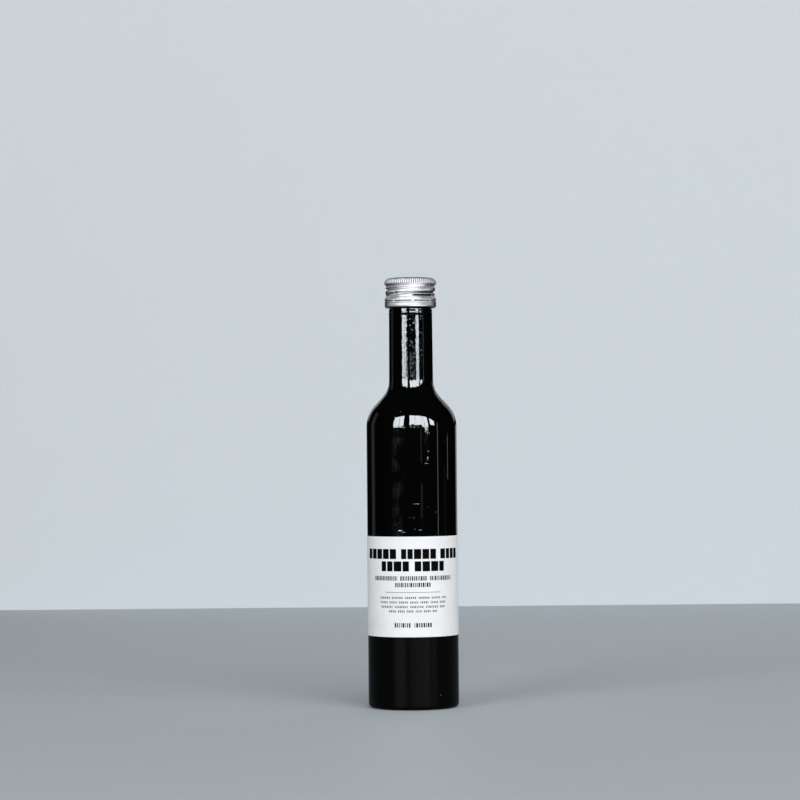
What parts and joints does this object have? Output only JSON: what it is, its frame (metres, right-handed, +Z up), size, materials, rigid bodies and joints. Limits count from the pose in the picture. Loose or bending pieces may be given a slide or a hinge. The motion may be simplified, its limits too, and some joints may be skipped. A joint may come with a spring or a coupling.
{
  "type": "vinegar bottle",
  "caption": "Slim round vinegar bottle in near-black glass with a sloped shoulder, a straight neck, a rolled-on aluminium screw cap and a wrap-round paper label.",
  "frame": {"origin": "on the bottle's axis, on the plane that it stands on", "axes": "+Z up along the bottle's axis, the label's front towards -Y, +X to the right of someone who reads the label"},
  "size_m": [0.0548, 0.0545, 0.2578],
  "materials": {
    "dark_glass": "gloss",
    "aluminium": "satin",
    "label_paper": "matt",
    "black_ink": "matt",
    "grey_ink": "matt"
  },
  "bodies": {
    "root": {"glass_bottle": "dark_glass", "screw_cap": "aluminium", "paper_label": "label_paper"}
  },
  "joints": []
}
